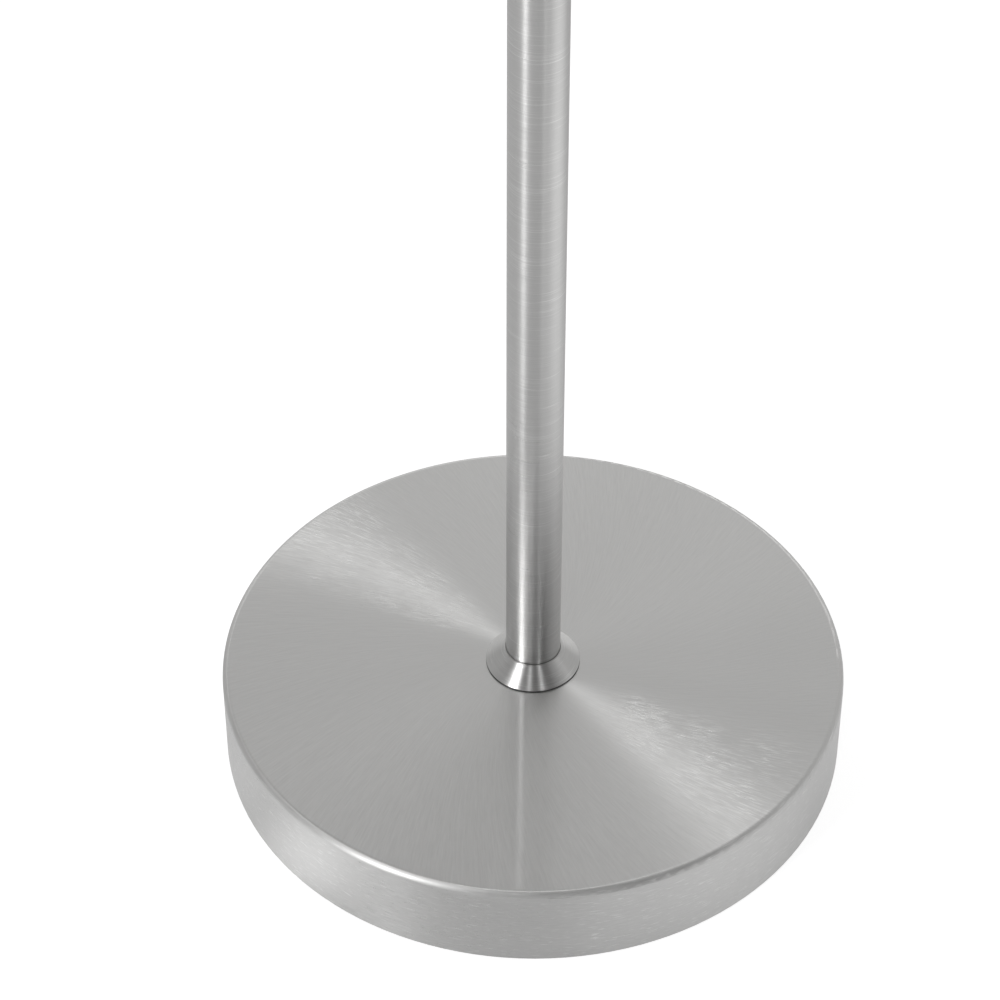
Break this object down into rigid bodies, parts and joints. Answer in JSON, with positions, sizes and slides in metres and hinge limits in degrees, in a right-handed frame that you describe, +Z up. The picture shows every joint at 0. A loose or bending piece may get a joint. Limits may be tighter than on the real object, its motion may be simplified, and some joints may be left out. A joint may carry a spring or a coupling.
{
  "type": "torchiere floor lamp",
  "caption": "Torchiere floor lamp: round weighted base, brushed steel pole screwed together from tubes, dimmer knob and an upward glass bowl over a screw-in bulb.",
  "frame": {"origin": "on the floor, under the middle of the base", "axes": "+Z up along the pole; -Y is the front, with the dimmer knob; +Y is the back, with the cord bush"},
  "size_m": [0.33, 0.33, 1.803],
  "materials": {
    "brushed_steel": "fine brushed, satin",
    "cast_iron": "rough cast, black painted",
    "felt": "felt",
    "black_plastic": "moulded",
    "zinc_steel": "zinc plated",
    "porcelain": "glazed",
    "aluminium": "bright",
    "brass": "turned",
    "rubber": "matt",
    "opal_glass": "frosted opal",
    "white_plastic": "moulded",
    "opal_plastic": "frosted",
    "black_pvc": "extruded",
    "white_pvc": "extruded"
  },
  "bodies": {
    "lamp": {"felt_pad": "felt", "base_weight": "cast_iron", "base_cover": "brushed_steel", "cord_bush": "black_plastic", "base_nipple": "zinc_steel", "foot_nut": "zinc_steel", "foot_lock_washer": "zinc_steel", "foot_washer": "zinc_steel", "foot_collar": "brushed_steel", "foot_bush": "zinc_steel", "lower_tube": "brushed_steel", "lower_joint_socket": "zinc_steel", "middle_joint_stud": "zinc_steel", "middle_tube": "brushed_steel", "middle_joint_socket": "zinc_steel", "upper_joint_stud": "zinc_steel", "upper_tube": "brushed_steel", "head_bush": "zinc_steel", "neck_collar": "brushed_steel", "head_nipple": "zinc_steel", "head_cup": "brushed_steel", "socket_bracket": "zinc_steel", "head_lock_washer": "zinc_steel", "head_nut": "zinc_steel", "bracket_screws": "zinc_steel", "lampholder": "porcelain", "screw_shell": "aluminium", "contact_tongue": "brass", "contact_rivet": "brass", "bowl_tray": "brushed_steel", "lower_gasket": "rubber", "glass_bowl": "opal_glass", "upper_gasket": "rubber", "shade_ring": "aluminium", "dimmer_can": "black_plastic", "dimmer_bushing": "brass", "dimmer_bezel": "brushed_steel", "dimmer_nut": "zinc_steel", "pole_lead": "black_pvc", "live_wire": "black_pvc", "switch_wire": "black_pvc", "neutral_wire": "white_pvc"},
    "knob": {"dimmer_knob": "brushed_steel", "dimmer_shaft": "zinc_steel", "knob_set_screw": "zinc_steel"},
    "bulb_carrier": {"bulb_tip": "brass"},
    "bulb": {"bulb_insulator": "black_plastic", "bulb_cap": "aluminium", "bulb_body": "white_plastic", "bulb_led_board": "aluminium", "bulb_dome": "opal_plastic"}
  },
  "joints": [
    {"name": "dimmer_turn", "type": "hinge", "parent": "lamp", "child": "knob", "pos_m": [0, -0.045, 1.6598], "axis": [0, 1, 0], "range_deg": [0, 300]},
    {"name": "bulb_rise", "type": "slide", "parent": "lamp", "child": "bulb_carrier", "axis": [0, 0, 1], "range_m": [0, 0.0109]},
    {"name": "bulb_turn", "type": "hinge", "parent": "bulb_carrier", "child": "bulb", "pos_m": [0, 0, 1.75], "axis": [0, 0, 1], "range_deg": [0, 1080]}
  ],
  "couplings": [
    {"joint": "bulb_rise", "follows": "bulb_turn", "m_per_rad": 0.0005775}
  ]
}
